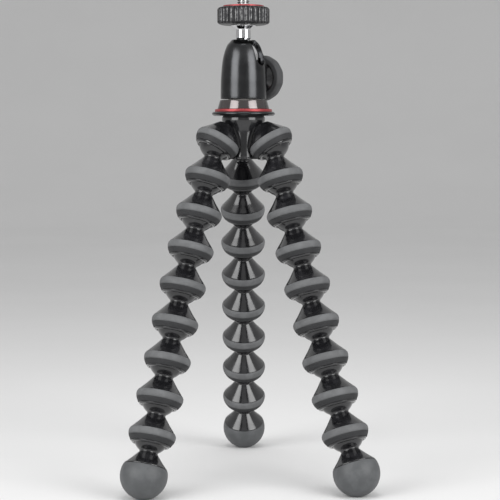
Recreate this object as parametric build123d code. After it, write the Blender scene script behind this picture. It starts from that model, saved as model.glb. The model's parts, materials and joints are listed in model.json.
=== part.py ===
from build123d import *
from collections import namedtuple
from math import cos, radians, sin
import os

# Millimetres, +Z up. The origin is on the floor, under the middle of the whole object's box.
# The front is -Y. A bearing turns from the front (-Y) towards the right (+X).
# Round parts are many-sided turnings, so that the repeated links stay light.

# Leg links. A link's own axis runs from its ball's centre towards the foot.
LINKS = 8
BALL_R = 8.8
JOINT_GAP = 0.05
WEB = 1.14
PITCH = 2 * BALL_R + WEB
WAIST_R = 4.45
WAIST_INSET = 0.4
WAIST_DROP = BALL_R - WAIST_INSET
DOME_WALL = 2.1
DOME_R = BALL_R + DOME_WALL
DOME_RISE = 2.5
BELL_WALL = 0.8
BELL_R = BALL_R + BELL_WALL
BELL_SKIRT = 3.2
LINK_SIDES = 12
BALL_RING_ANGLES = (140, 90, 63, 36)
SOCKET_RING_ANGLES = (62, 95, 128, 161)

# Rubber grip ring moulded on a socket, heights from the socket's centre.
GRIP_WALL = 0.6
GRIP_R = DOME_R + GRIP_WALL
GRIP_BELLY_TOP = 1.6
GRIP_BELLY_FOOT = 0.6
GRIP_SIDES = 14

# Foot: a rubber ball on the last link's core. It is cut off by the collar, this share of its radius above
# its centre.
FOOT_R = 11.43
FOOT_CUT_share = 0.3307
COLLAR_RISE = 3.14
COLLAR_INSET = 0.73
CORE_INSET = 3.1
FOOT_COLLAR_DROP = PITCH - COLLAR_RISE
FOOT_COLLAR_R = FOOT_R - COLLAR_INSET
FOOT_REACH = FOOT_COLLAR_DROP + FOOT_R * FOOT_CUT_share
FOOT_CORE_R = FOOT_COLLAR_R - CORE_INSET
FOOT_CORE_LENGTH = 5.4
FOOT_SIDES = 14
FOOT_RING_ANGLES = (15, 40, 65, 90, 115, 140)

# Stance: how far the legs are let down, as a share of their straight length, and how each is bent.
STANCE_share = 0.9312
SOCKET_SPLAY = 34
HUB_TURN = 2.7
LEAN_LIMIT = 60
LEAN_TOLERANCE = 1e-9
Leg = namedtuple("Leg", "bearing bend curl swing twist")
LEGS = {
    "front_left": Leg(-60, -1.11, 0.199, 13.90, 2.27),
    "front_right": Leg(60, -0.47, 0.176, -14.18, -1.72),
    "rear": Leg(180, 0.83, -0.045, -4.50, 0.20),
}

# Hub, heights from the plane of its three ball centres.
NECK_R = 10.9
NECK_TOP = 13.2
NECK_H = 1.6
COLUMN_TOP = 5.5
COLUMN_TOP_INSET = 0.5
COLUMN_INSET = 1.5
LIP_INSET = 1.9
COLUMN_TOP_R = NECK_R - COLUMN_TOP_INSET
COLUMN_R = NECK_R - COLUMN_INSET
LIP_R = NECK_R - LIP_INSET
HUB_FOOT = 7.9
GRIP_RELIEF = 0.4
HUB_SIDES = 16

# Screws
CAMERA_SCREW_R = 3.175
SCREW_CLEARANCE = 0.2
COVER_R = 5.7
COVER_H = 1.4
HEAD_INSET = 0.7
STAND_HEAD_R = COVER_R - HEAD_INSET
STAND_HEAD_H = 2.4
STAND_GRIP = 4.2
BOLT_SIDES = 10
HEX_SIDES = 6

# The sockets stand as near the axis as their splayed rings and the cover between them allow.
ARM_GAP = 0.546
ARM_REACH = COVER_R + GRIP_R * cos(radians(SOCKET_SPLAY)) + ARM_GAP

# Head body: a bullet-shaped housing. Its outline is in shares of its radius and height.
BODY_R = 11.5
BODY_H = 30.0
BODY_RADIUS_shares = (1.0, 0.985, 0.93, 0.845, 0.715, 0.515)
BODY_HEIGHT_shares = (0, 0.36, 0.60, 0.76, 0.895, 0.99)
BODY_WALL = 2.75
BODY_BORE_R = BODY_R - BODY_WALL
FLOOR_H = 2.2
HEAD_SIDES = 18

# Head base, stacked upwards from the hub's neck and stepping outwards from the body's foot.
PAD_H = 0.6
PAD_INSET = 0.5
CONE_TOP_OUT = 0.3
CONE_SPREAD = 1.3
CONE_LIP = 0.5
BASE_RING_W = 1.8
FLANGE_OUT = 1.5
CONE_TOP_R = BODY_R + CONE_TOP_OUT
CONE_FOOT_R = CONE_TOP_R + CONE_SPREAD
SPIGOT_R = CONE_FOOT_R - CONE_LIP
BASE_RING_R = SPIGOT_R + BASE_RING_W
FLANGE_R = BASE_RING_R + FLANGE_OUT
CONE_H = 4.5
BASE_RING_H = 1.4
FLANGE_H = 2.0
FLANGE_BEVEL = 0.7

# Pan bearing between base and body
PAN_BOLT_R = 2.4
PAN_BOLT_HEAD_R = 4.2
PAN_BOLT_HEAD_H = 1.8
PAN_BOLT_GRIP = 2.8
PAN_GAP = 0.5
WASHER_INSET = 0.75
WASHER_R = BODY_BORE_R - WASHER_INSET
WASHER_PLAY = 0.05
RUNNING_GAP = 0.08

# Head ball in the body's bore, with the mouth above it
BALL_INSET = 0.75
HEAD_BALL_R = BODY_BORE_R - BALL_INSET
HEAD_BALL_H = 20.7
HEAD_BALL_SIDES = 14
HEAD_BALL_ANGLES = (22, 55, 90, 125, 158)
HEAD_SEAT_ANGLES = (38, 64, 90)
MOUTH_share = 0.625
MOUTH_R = HEAD_BALL_R * MOUTH_share

# Drop notch and lock knob: bearings, then sizes
NOTCH_BEARING = 60
NOTCH_GAP = 0.3
KNOB_BEARING = 150
KNOB_DROP = 9.6
BOSS_HALF_W = 6.3
BOSS_OUT = 1.1
BOSS_REACH = BODY_R + BOSS_OUT
BOSS_RISE = 12.0
BOSS_SLOPE = 5.0

# Brake cup under the ball, lifted by the lock screw's conical tip
CUP_PLAY = 0.35
CUP_R = BODY_BORE_R - CUP_PLAY
CUP_LENGTH = 8.9
CUP_SEAT_ANGLES = (152, 122)
CUP_TRAVEL = 0.3
LOCK_R = 2.5
LOCK_TIP_R = 1.0
LOCK_TIP_DEPTH = 3.4
LOCK_TIP_AT = CUP_R - LOCK_TIP_DEPTH
LOCK_TIP_LENGTH = 2.4

# Knob, places along the lock screw's axis from the head's axis
KNOB_GAP = 0.7
KNOB_AT = BOSS_REACH + KNOB_GAP
KNOB_NECK_R = 4.4
KNOB_NECK_L = 1.2
KNOB_CORE_R = 8.0
KNOB_CONE_L = 2.4
KNOB_DISC_L = 6.4
KNOB_R = 11.7
KNOB_BEVEL = 1.1
KNOB_CAP_L = 1.0

# Stem and platform, heights from the head ball's centre
STEM_R = 3.75
STEM_NECK_R = 3.0
STEM_NECK_TOP = 9.0
STEM_SHOULDER = 9.9
FLARE_FOOT = 14.4
FLARE_R = 6.3
PLATFORM_AT = 16.4
PLATFORM_R = 13.15
PLATFORM_H = 9.0
PLATFORM_BEVEL = 0.9
RIBS = 32
RIB_DEPTH = 0.55
SPIGOT_TOP_R = 4.7
SPIGOT_ROOF = 1.8
SPIGOT_TOP_H = PLATFORM_H - SPIGOT_ROOF
TOP_RING_INSET = 2.85
TOP_RING_R = PLATFORM_R - TOP_RING_INSET
TOP_RING_WALL = 1.0
TOP_RING_H = 0.7
TOP_PAD_LIFT = 0.1
SCREW_OUT = 4.5
SCREW_TIP = 1.1
SCREW_TIP_R = 2.3
SCREW_SHANK = 5.0

# Cuts run this far past a face, and corners nearer than the second value are one corner.
OVERRUN = 1.0
SAME = 1e-6


def bearing_vector(bearing):
    """Unit level vector at a bearing in degrees from the front."""
    return Vector(sin(radians(bearing)), -cos(radians(bearing)), 0)


def skin(rings):
    """Close a solid through rings of corner points, each as long as the next, with flat facets."""
    faces = []
    for low, high in zip(rings, rings[1:] + rings[:1]):
        for side in range(len(low)):
            after = (side + 1) % len(low)
            corners = []
            for corner in (low[side], high[side], high[after], low[after]):
                if all((corner - other).length > SAME for other in corners):
                    corners.append(corner)
            if len(corners) < 3:
                continue
            if len(corners) == 4 and not flat(corners):
                faces.append(Face(Wire.make_polygon(corners[:3])))
                faces.append(Face(Wire.make_polygon([corners[0], *corners[2:]])))
            else:
                faces.append(Face(Wire.make_polygon(corners)))
    return Solid(Shell(faces)).clean()


def flat(corners):
    """Whether four corners lie in one plane."""
    first, second, third = (corner - corners[0] for corner in corners[1:])
    normal = first.cross(second)
    return abs(normal.dot(third)) < SAME * normal.length * third.length


def ring(radius, height, sides):
    """Corners of a regular ring about the Z axis."""
    step = 360 / sides
    return [bearing_vector(step * side) * radius + Vector(0, 0, height) for side in range(sides)]


def turned(outline, sides):
    """Turn a closed outline of (radius, height) points into a many-sided solid."""
    return skin([ring(radius, height, sides) for radius, height in outline])


def plain(inner, outer, foot, top):
    """Outline of a plain ring, or of a disc when the inner radius is 0."""
    return [(inner, foot), (outer, foot), (outer, top), (inner, top)]


def arc(radius, angles, centre=0):
    """Outline points on a circle, from angles in degrees off the +Z axis."""
    return [(radius * sin(radians(a)), centre + radius * cos(radians(a))) for a in angles]


def corner_radius(clear_radius, angles, sides):
    """Radius for a hollow's corners, so that its flats clear a ball of clear_radius."""
    step = max(abs(b - a) for a, b in zip(angles, angles[1:]))
    return clear_radius / cos(radians(180 / sides)) / cos(radians(step / 2))


def flat_to_corner(flat_radius, sides):
    """Corner radius of a regular ring whose flats are at flat_radius."""
    return flat_radius / cos(radians(180 / sides))


# Leg pieces, each on its own axis: ball centre at the origin, foot end up +Z.
SOCKET_R = corner_radius(BALL_R + JOINT_GAP, SOCKET_RING_ANGLES, LINK_SIDES)


def ball_outline():
    """The joint ball, from the middle of its flat top to the waist."""
    points = arc(BALL_R, BALL_RING_ANGLES)
    return [(0, points[0][1]), *points, (WAIST_R, WAIST_DROP)]


def socket_outline(centre):
    """The socket's hollow from its mouth to the middle of its flat roof."""
    points = arc(SOCKET_R, SOCKET_RING_ANGLES, centre)
    return [*points, (0, points[-1][1])]


def link_shell():
    """A link: ball, waist, conical dome, and the bell that holds the next ball."""
    outline = ball_outline()
    outline += [(DOME_R, PITCH - DOME_RISE), (BELL_R, PITCH + BELL_SKIRT)]
    outline += socket_outline(PITCH)
    return turned(outline, LINK_SIDES)


def grip_ring():
    """The rubber ring round a bell, about the socket's centre."""
    outline = [
        (flat_to_corner(DOME_R, GRIP_SIDES), -DOME_RISE),
        (GRIP_R, -GRIP_BELLY_TOP),
        (GRIP_R, GRIP_BELLY_FOOT),
        (flat_to_corner(BELL_R, GRIP_SIDES), BELL_SKIRT),
    ]
    return turned(outline, GRIP_SIDES)


def foot_link():
    """The last link: ball, waist, dome and the core inside the foot."""
    outline = [*ball_outline(), (FOOT_COLLAR_R, FOOT_COLLAR_DROP)]
    outline += foot_core_outline()[1:]
    return turned(outline, LINK_SIDES)


def foot_core_outline():
    """The core that the rubber foot is moulded on."""
    return plain(0, FOOT_CORE_R, FOOT_COLLAR_DROP, FOOT_COLLAR_DROP + FOOT_CORE_LENGTH)


def foot_rubber(place):
    """The rubber ball, upright in the world so that its flat sole lies level, cut to the link's collar."""
    centre = place.origin + place.z_dir * FOOT_REACH
    points = [(r, -h) for r, h in arc(FOOT_R, FOOT_RING_ANGLES)]
    ball = Pos(*centre) * turned([(0, points[0][1]), *points, (0, points[-1][1])], FOOT_SIDES)
    above = turned(plain(0, PITCH, 0, FOOT_COLLAR_DROP), FOOT_SIDES)
    return ball - place.location * above - place.location * turned(foot_core_outline(), LINK_SIDES)


# Stance
def link_directions(leg, lean):
    """Unit directions of a leg's links from hub to foot, for the lean of its first link."""
    directions = []
    for place in range(LINKS + 1):
        tilt = radians(lean + leg.bend * place + leg.curl * place**2)
        bearing = leg.bearing + HUB_TURN + leg.swing + leg.twist * place
        directions.append(bearing_vector(bearing) * sin(tilt) - Vector(0, 0, cos(tilt)))
    return directions


def foot_drop(leg, lean):
    """How far the foot's centre lies below the hub's ball centres."""
    drops = [-direction.Z for direction in link_directions(leg, lean)]
    return PITCH * sum(drops[:-1]) + FOOT_REACH * drops[-1]


def stance_drop():
    """The feet's common depth below the hub's ball centres."""
    return STANCE_share * (PITCH * LINKS + FOOT_REACH)


def level_lean(leg):
    """The first link's lean that puts this foot at the common depth, by halving the interval."""
    low, high = 0, LEAN_LIMIT
    while high - low > LEAN_TOLERANCE:
        middle = (low + high) / 2
        if foot_drop(leg, middle) > stance_drop():
            low = middle
        else:
            high = middle
    return low


def leg_centres(name):
    """Ball centres of a leg and then its foot's centre, from the hub's middle, with the directions."""
    leg = LEGS[name]
    directions = link_directions(leg, level_lean(leg))
    centres = [bearing_vector(leg.bearing + HUB_TURN) * ARM_REACH]
    for direction in directions[:-1]:
        centres.append(centres[-1] + direction * PITCH)
    return centres, centres[-1] + directions[-1] * FOOT_REACH, directions


def hub_place():
    """The hub's middle: the feet's flat soles lie on the floor, their box is centred on the origin."""
    feet = [leg_centres(name)[1] for name in LEGS]
    east = (max(foot.X for foot in feet) + min(foot.X for foot in feet)) / 2
    north = (max(foot.Y for foot in feet) + min(foot.Y for foot in feet)) / 2
    sole = FOOT_R * cos(radians(FOOT_RING_ANGLES[0]))
    return Vector(-east, -north, stance_drop() + sole)


def axis_plane(origin, direction, bearing):
    """Plane with its Z along a direction and its X as near as can be to the level across a bearing."""
    across = bearing_vector(bearing + 90)
    across = across - direction * across.dot(direction)
    return Plane(origin=origin, x_dir=across, z_dir=direction)


def arm_direction(name):
    """Unit axis of a hub socket, pointing out of its mouth."""
    bearing = LEGS[name].bearing + HUB_TURN
    return bearing_vector(bearing) * sin(radians(SOCKET_SPLAY)) - Vector(0, 0, cos(radians(SOCKET_SPLAY)))


def arm_plane(name):
    """A hub socket's own plane about its ball centre."""
    bearing = LEGS[name].bearing + HUB_TURN
    return axis_plane(bearing_vector(bearing) * ARM_REACH, arm_direction(name), bearing)


# Hub, about its own middle
def hub_core():
    """Neck and column with three splayed bells, hollowed for the balls, the screw and the cover."""
    column = [
        (0, NECK_TOP),
        (NECK_R, NECK_TOP),
        (NECK_R, NECK_TOP - NECK_H),
        (COLUMN_TOP_R, COLUMN_TOP),
        (COLUMN_R, 0),
        (LIP_R, -HUB_FOOT),
        (0, -HUB_FOOT),
    ]
    core = turned(column, HUB_SIDES)
    relief_r = GRIP_R + GRIP_RELIEF
    relief = [
        (0, -DOME_RISE),
        (flat_to_corner(DOME_R, GRIP_SIDES), -DOME_RISE),
        (relief_r, -GRIP_BELLY_TOP),
        (relief_r, PITCH),
        (0, PITCH),
    ]
    socket = socket_outline(0)
    mouth_r, mouth_at = socket[0]
    bell = [
        (0, WAIST_DROP - PITCH),
        (WAIST_R, WAIST_DROP - PITCH),
        (DOME_R, -DOME_RISE),
        (BELL_R, BELL_SKIRT),
        (mouth_r, mouth_at),
        (0, mouth_at),
    ]
    hollow = [(0, mouth_at + OVERRUN), (mouth_r, mouth_at + OVERRUN), *socket]
    places = [arm_plane(name).location for name in LEGS]
    for place in places:
        core -= place * turned(relief, GRIP_SIDES)
    for place in places:
        core += place * turned(bell, LINK_SIDES)
    for place in places:
        core -= place * turned(hollow, LINK_SIDES)
    bore_r = CAMERA_SCREW_R + SCREW_CLEARANCE
    seat = COVER_H + STAND_HEAD_H - HUB_FOOT
    bore = [
        (0, -HUB_FOOT - OVERRUN),
        (COVER_R, -HUB_FOOT - OVERRUN),
        (COVER_R, seat),
        (bore_r, seat),
        (bore_r, NECK_TOP + OVERRUN),
        (0, NECK_TOP + OVERRUN),
    ]
    return core - turned(bore, BOLT_SIDES)


def hub_cover():
    """Round cover that closes the hub's bottom."""
    return turned(plain(0, COVER_R, -HUB_FOOT, COVER_H - HUB_FOOT), BOLT_SIDES)


def stand_screw():
    """The hub's 1/4 inch screw: a hex head in the hub and a shank up into the head's base."""
    under = COVER_H - HUB_FOOT
    seat = under + STAND_HEAD_H
    top = NECK_TOP + PAD_H + STAND_GRIP
    flats_to_sockets = Rot(0, 0, HUB_TURN + 180 / HEX_SIDES)
    head = flats_to_sockets * turned(plain(0, STAND_HEAD_R, under, seat), HEX_SIDES)
    return head + turned(plain(0, CAMERA_SCREW_R, seat, top), BOLT_SIDES)


def stand_pad():
    """Thin rubber pad between hub and head."""
    inner = CAMERA_SCREW_R + SCREW_CLEARANCE
    return turned(plain(inner, NECK_R - PAD_INSET, NECK_TOP, NECK_TOP + PAD_H), HUB_SIDES)


# Head, stacked on the hub. Heights are from the hub's middle.
BASE_AT = NECK_TOP + PAD_H
RING_AT = BASE_AT + FLANGE_H
CONE_AT = RING_AT + BASE_RING_H
BASE_TOP = CONE_AT + CONE_H
BODY_AT = BASE_TOP + PAN_GAP
HEAD_CENTRE = BODY_AT + HEAD_BALL_H
LOCK_AT = HEAD_CENTRE - KNOB_DROP
PLATFORM_TOP = HEAD_CENTRE + PLATFORM_AT + PLATFORM_H
PAD_TOP = PLATFORM_TOP + TOP_RING_H + TOP_PAD_LIFT


def head_base():
    """Flange, spigot for the accent ring, conical band, and the two threaded seats in its middle."""
    outline = [
        (0, BASE_AT),
        (FLANGE_R - FLANGE_BEVEL, BASE_AT),
        (FLANGE_R, BASE_AT + FLANGE_BEVEL),
        (FLANGE_R, RING_AT - FLANGE_BEVEL),
        (FLANGE_R - FLANGE_BEVEL, RING_AT),
        (SPIGOT_R, RING_AT),
        (SPIGOT_R, CONE_AT),
        (CONE_FOOT_R, CONE_AT),
        (CONE_TOP_R, BASE_TOP),
        (0, BASE_TOP),
    ]
    body = turned(outline, HEAD_SIDES)
    lower = plain(0, CAMERA_SCREW_R + SCREW_CLEARANCE, BASE_AT - OVERRUN, BASE_AT + STAND_GRIP)
    upper = plain(0, PAN_BOLT_R, BASE_TOP - PAN_BOLT_GRIP, BASE_TOP + OVERRUN)
    return body - turned(lower, BOLT_SIDES) - turned(upper, BOLT_SIDES)


def base_ring():
    """Red ring on the flange, round the base's spigot."""
    return turned(plain(SPIGOT_R, BASE_RING_R, RING_AT, CONE_AT), HEAD_SIDES)


def pan_bolt():
    """Shoulder bolt, fixed in the base, on which the body turns."""
    foot = BASE_TOP - PAN_BOLT_GRIP
    seat = BODY_AT + FLOOR_H + WASHER_PLAY
    top = seat + PAN_BOLT_HEAD_H
    outline = [(0, foot), (PAN_BOLT_R, foot), (PAN_BOLT_R, seat), (PAN_BOLT_HEAD_R, seat)]
    outline += [(PAN_BOLT_HEAD_R, top), (0, top)]
    return turned(outline, BOLT_SIDES)


def pan_washer():
    """Friction washer between the base and the body's floor."""
    return turned(plain(PAN_BOLT_R, WASHER_R, BASE_TOP, BODY_AT - WASHER_PLAY), BOLT_SIDES)


def body_outline():
    """The bullet's outer outline, bottom first."""
    shares = zip(BODY_RADIUS_shares, BODY_HEIGHT_shares)
    return [(BODY_R * wide, BODY_AT + BODY_H * high) for wide, high in shares]


def lock_plane():
    """Plane of the lock screw: its Z runs along the screw, outwards, from the head's axis."""
    return Plane(origin=(0, 0, LOCK_AT), x_dir=(0, 0, 1), z_dir=bearing_vector(KNOB_BEARING))


def boss():
    """Flat-faced boss on the body's side that carries the lock screw."""
    top = LOCK_AT + BOSS_RISE
    corners = [(0, BODY_AT), (BOSS_REACH, BODY_AT), (BOSS_REACH, top - BOSS_SLOPE)]
    corners += [(BODY_BORE_R, top), (0, top)]
    side = Plane((0, 0, 0), x_dir=bearing_vector(KNOB_BEARING), z_dir=bearing_vector(KNOB_BEARING - 90))
    return extrude(side * make_face(Polyline(*corners, close=True)), amount=BOSS_HALF_W, both=True)


def notch():
    """The drop notch: a straight slot with a rounded foot, from the ball's centre outwards and up."""
    half_w = STEM_R + NOTCH_GAP
    foot = turned(plain(0, flat_to_corner(half_w, HEAD_BALL_SIDES), 0, BODY_R * 2), HEAD_BALL_SIDES)
    out = Plane(origin=(0, 0, HEAD_CENTRE), x_dir=(0, 0, 1), z_dir=bearing_vector(NOTCH_BEARING))
    slot = Box(BODY_H, half_w * 2, BODY_R * 2, align=(Align.MIN, Align.CENTER, Align.MIN))
    return out.location * (foot + slot)


def head_body():
    """Bullet housing: hollow for floor, cup and ball, with the mouth, the notch and the lock boss."""
    outer = body_outline()
    shape = turned([(0, outer[0][1]), *outer, (0, outer[-1][1])], HEAD_SIDES) + boss()
    seat_r = corner_radius(HEAD_BALL_R + JOINT_GAP, HEAD_SEAT_ANGLES, HEAD_BALL_SIDES)
    seat = arc(seat_r, HEAD_SEAT_ANGLES, HEAD_CENTRE)
    top = outer[-1][1] + OVERRUN
    hollow = [(0, top), (MOUTH_R, top), *seat]
    hollow += [(BODY_BORE_R, HEAD_CENTRE), (BODY_BORE_R, BODY_AT - OVERRUN), (0, BODY_AT - OVERRUN)]
    shape -= turned(hollow, HEAD_BALL_SIDES)
    shape -= notch()
    drill_r = flat_to_corner(LOCK_R + RUNNING_GAP, BOLT_SIDES)
    return shape - lock_plane().location * turned(plain(0, drill_r, 0, BODY_R * 2), BOLT_SIDES)


def body_floor():
    """Disc that closes the housing from below and turns on the pan bolt."""
    inner = flat_to_corner(PAN_BOLT_R + RUNNING_GAP, HEAD_BALL_SIDES)
    return turned(plain(inner, BODY_BORE_R, BODY_AT, BODY_AT + FLOOR_H), HEAD_BALL_SIDES)


def brake_cup():
    """Ring-shaped cup whose upper rim bears on the ball, with a cross hole for the lock screw's tip."""
    seat_r = corner_radius(HEAD_BALL_R + JOINT_GAP, CUP_SEAT_ANGLES, HEAD_BALL_SIDES)
    seat = arc(seat_r, CUP_SEAT_ANGLES, HEAD_CENTRE)
    rim = seat[-1][1]
    foot = rim - CUP_LENGTH
    cup = turned([(seat[0][0], foot), *seat, (CUP_R, rim), (CUP_R, foot)], HEAD_BALL_SIDES)
    hole_r = flat_to_corner(LOCK_R + CUP_TRAVEL + RUNNING_GAP, BOLT_SIDES)
    return cup - lock_plane().location * turned(plain(0, hole_r, 0, BODY_R), BOLT_SIDES)


def head_ball():
    """The head's ball, flat on top under the stem."""
    points = arc(HEAD_BALL_R, HEAD_BALL_ANGLES, HEAD_CENTRE)
    return turned([(0, points[0][1]), *points, (0, points[-1][1])], HEAD_BALL_SIDES)


def stem():
    """Stem on the ball: neck, shaft, flared collar and the spigot inside the platform."""
    foot = HEAD_CENTRE + HEAD_BALL_R * cos(radians(HEAD_BALL_ANGLES[0]))
    top = HEAD_CENTRE + PLATFORM_AT + SPIGOT_TOP_H
    outline = [
        (0, foot),
        (STEM_NECK_R, foot),
        (STEM_NECK_R, HEAD_CENTRE + STEM_NECK_TOP),
        (STEM_R, HEAD_CENTRE + STEM_SHOULDER),
        (STEM_R, HEAD_CENTRE + FLARE_FOOT),
        (FLARE_R, HEAD_CENTRE + PLATFORM_AT),
        (SPIGOT_TOP_R, HEAD_CENTRE + PLATFORM_AT),
        (SPIGOT_TOP_R, top),
        (0, top),
    ]
    return turned(outline, HEAD_BALL_SIDES) - screw_shank()


def knurled_ring(radius, height):
    """Corners of a ring with a rib at every other corner."""
    inner = radius - RIB_DEPTH
    step = 180 / RIBS
    radii = [radius if side % 2 else inner for side in range(2 * RIBS)]
    return [bearing_vector(step * side) * r + Vector(0, 0, height) for side, r in enumerate(radii)]


def platform_wheel():
    """Knurled wheel under the camera, with bevelled edges, bored for the stem's spigot."""
    foot = HEAD_CENTRE + PLATFORM_AT
    waist = PLATFORM_R - RIB_DEPTH - PLATFORM_BEVEL
    sides = 2 * RIBS
    rings = [
        ring(0, foot, sides),
        ring(waist, foot, sides),
        knurled_ring(PLATFORM_R, foot + PLATFORM_BEVEL),
        knurled_ring(PLATFORM_R, PLATFORM_TOP - PLATFORM_BEVEL),
        ring(waist, PLATFORM_TOP, sides),
        ring(0, PLATFORM_TOP, sides),
    ]
    spigot = plain(0, SPIGOT_TOP_R, foot - OVERRUN, foot + SPIGOT_TOP_H)
    return skin(rings) - turned(spigot, HEAD_BALL_SIDES) - screw_shank()


def screw_shank():
    """The camera screw's hidden hex shank, from the pad's top down."""
    return turned(plain(0, CAMERA_SCREW_R, PLATFORM_TOP - SCREW_SHANK, PAD_TOP), HEX_SIDES)


def camera_screw():
    """1/4 inch screw with a tapered tip, standing clear of the pad."""
    length = SCREW_OUT - SCREW_TIP
    out = Cylinder(CAMERA_SCREW_R, length, align=(Align.CENTER, Align.CENTER, Align.MIN))
    shoulder = PAD_TOP + length
    top = shoulder + SCREW_TIP
    tip = turned([(0, shoulder), (CAMERA_SCREW_R, shoulder), (SCREW_TIP_R, top), (0, top)], BOLT_SIDES)
    return Pos(0, 0, PAD_TOP) * out + tip + screw_shank()


def top_ring():
    """Red ring round the platform's pad."""
    inner = TOP_RING_R - TOP_RING_WALL
    return turned(plain(inner, TOP_RING_R, PLATFORM_TOP, PLATFORM_TOP + TOP_RING_H), HEAD_SIDES)


def top_pad():
    """Rubber pad that the camera sits on, a hair above its ring."""
    outer = TOP_RING_R - TOP_RING_WALL
    inner = flat_to_corner(CAMERA_SCREW_R + SCREW_CLEARANCE, BOLT_SIDES)
    disc = turned(plain(0, outer, PLATFORM_TOP, PAD_TOP), HEAD_SIDES)
    return disc - turned(plain(0, inner, PLATFORM_TOP - OVERRUN, PAD_TOP + OVERRUN), BOLT_SIDES)


def lock_screw():
    """Screw through the boss: conical tip in the brake cup, plain end inside the knob."""
    shoulder = LOCK_TIP_AT + LOCK_TIP_LENGTH
    end = KNOB_AT + KNOB_NECK_L + KNOB_DISC_L
    outline = [(0, LOCK_TIP_AT), (LOCK_TIP_R, LOCK_TIP_AT), (LOCK_R, shoulder), (LOCK_R, end), (0, end)]
    return lock_plane().location * turned(outline, BOLT_SIDES)


def knob_core():
    """Knob's hard middle: neck, cone, drum and cap, bored for the lock screw."""
    cone = KNOB_AT + KNOB_NECK_L
    drum = cone + KNOB_CONE_L
    cap = cone + KNOB_DISC_L + KNOB_CAP_L
    bore_r = flat_to_corner(LOCK_R + RUNNING_GAP, BOLT_SIDES)
    bore_end = cone + KNOB_DISC_L + RUNNING_GAP
    outline = [
        (bore_r, KNOB_AT),
        (KNOB_NECK_R, KNOB_AT),
        (KNOB_NECK_R, cone),
        (KNOB_CORE_R, drum),
        (KNOB_CORE_R, cap),
        (0, cap),
        (0, bore_end),
        (bore_r, bore_end),
    ]
    return lock_plane().location * turned(outline, LINK_SIDES)


def knob_grip():
    """Wide rubber rim of the knob."""
    inner = flat_to_corner(KNOB_CORE_R, HEAD_SIDES)
    near = KNOB_AT + KNOB_NECK_L + KNOB_CONE_L - KNOB_BEVEL
    far = KNOB_AT + KNOB_NECK_L + KNOB_DISC_L + KNOB_CAP_L
    outline = [
        (inner, near),
        (KNOB_R - KNOB_BEVEL, near),
        (KNOB_R, near + KNOB_BEVEL),
        (KNOB_R, far - KNOB_BEVEL),
        (KNOB_R - KNOB_BEVEL, far),
        (inner, far),
    ]
    return lock_plane().location * turned(outline, HEAD_SIDES)


def build():
    """Every node by name, in the part's frame."""
    hub = Pos(*hub_place())
    nodes = {}
    shell = link_shell()
    grip = grip_ring()
    last = foot_link()
    for name in LEGS:
        centres, foot, directions = leg_centres(name)
        for number in range(LINKS):
            place = axis_plane(centres[number], directions[number], LEGS[name].bearing).location
            ring_at = place * Pos(0, 0, PITCH)
            nodes[f"{name}_link_{number + 1}"] = Compound([hub * place * shell, hub * ring_at * grip])
        end = axis_plane(centres[-1], directions[-1], LEGS[name].bearing)
        nodes[f"{name}_foot_link"] = hub * end.location * last
        nodes[f"{name}_foot_rubber"] = hub * foot_rubber(end)
        nodes[f"hub_grip_{name}"] = hub * arm_plane(name).location * grip
    pieces = (hub_core, hub_cover, stand_screw, stand_pad, head_base, base_ring, pan_bolt, pan_washer)
    pieces += (head_body, body_floor, brake_cup, head_ball, stem, platform_wheel, top_ring, top_pad)
    pieces += (camera_screw, lock_screw, knob_core, knob_grip)
    for piece in pieces:
        nodes[piece.__name__] = hub * piece()
    return nodes


def main():
    """Write one STEP file for each node."""
    os.makedirs("parts", exist_ok=True)
    for name, shape in build().items():
        export_step(shape, f"parts/{name}.step")


if __name__ == "__main__":
    main()
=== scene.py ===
"""Looks of a flexible leg tripod with a ball head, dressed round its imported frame.

Shapes are worked out in millimetres and put into meshes in metres. Heights on the hub and head are from
the plane of the hub's three ball centres, on the head's upright axis.
"""

from __future__ import annotations

import json
import logging
import math
from dataclasses import dataclass, field, replace
from enum import Enum
from typing import Any, Sequence

import bpy
import numpy as np
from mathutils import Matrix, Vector

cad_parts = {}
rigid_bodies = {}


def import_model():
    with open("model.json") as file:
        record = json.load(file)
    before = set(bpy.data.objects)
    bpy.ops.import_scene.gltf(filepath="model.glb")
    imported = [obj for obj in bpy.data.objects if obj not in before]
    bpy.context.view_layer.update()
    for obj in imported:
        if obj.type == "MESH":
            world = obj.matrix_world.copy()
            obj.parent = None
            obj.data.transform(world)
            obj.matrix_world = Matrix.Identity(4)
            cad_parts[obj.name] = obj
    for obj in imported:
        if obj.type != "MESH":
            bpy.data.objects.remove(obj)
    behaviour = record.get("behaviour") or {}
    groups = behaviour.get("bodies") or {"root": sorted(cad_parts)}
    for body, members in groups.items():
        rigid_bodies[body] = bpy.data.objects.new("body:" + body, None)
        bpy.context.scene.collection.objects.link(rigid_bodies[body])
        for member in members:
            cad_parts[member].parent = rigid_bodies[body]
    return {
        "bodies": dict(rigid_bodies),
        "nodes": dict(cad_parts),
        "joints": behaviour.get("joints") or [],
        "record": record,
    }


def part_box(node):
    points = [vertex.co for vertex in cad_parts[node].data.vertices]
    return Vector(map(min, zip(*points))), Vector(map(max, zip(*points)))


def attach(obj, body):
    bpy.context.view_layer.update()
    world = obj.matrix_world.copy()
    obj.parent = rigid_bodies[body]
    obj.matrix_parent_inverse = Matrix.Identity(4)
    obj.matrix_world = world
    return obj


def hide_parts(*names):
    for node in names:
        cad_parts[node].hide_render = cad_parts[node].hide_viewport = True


LOG = logging.getLogger("tripod")
Triple = tuple[float, float, float]
Colour = Triple
Corner = Triple  # radius from the axis, height, radius of the fillet
Profile = tuple[Corner, ...]
Socket = bpy.types.NodeSocket
Material = bpy.types.Material

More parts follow.
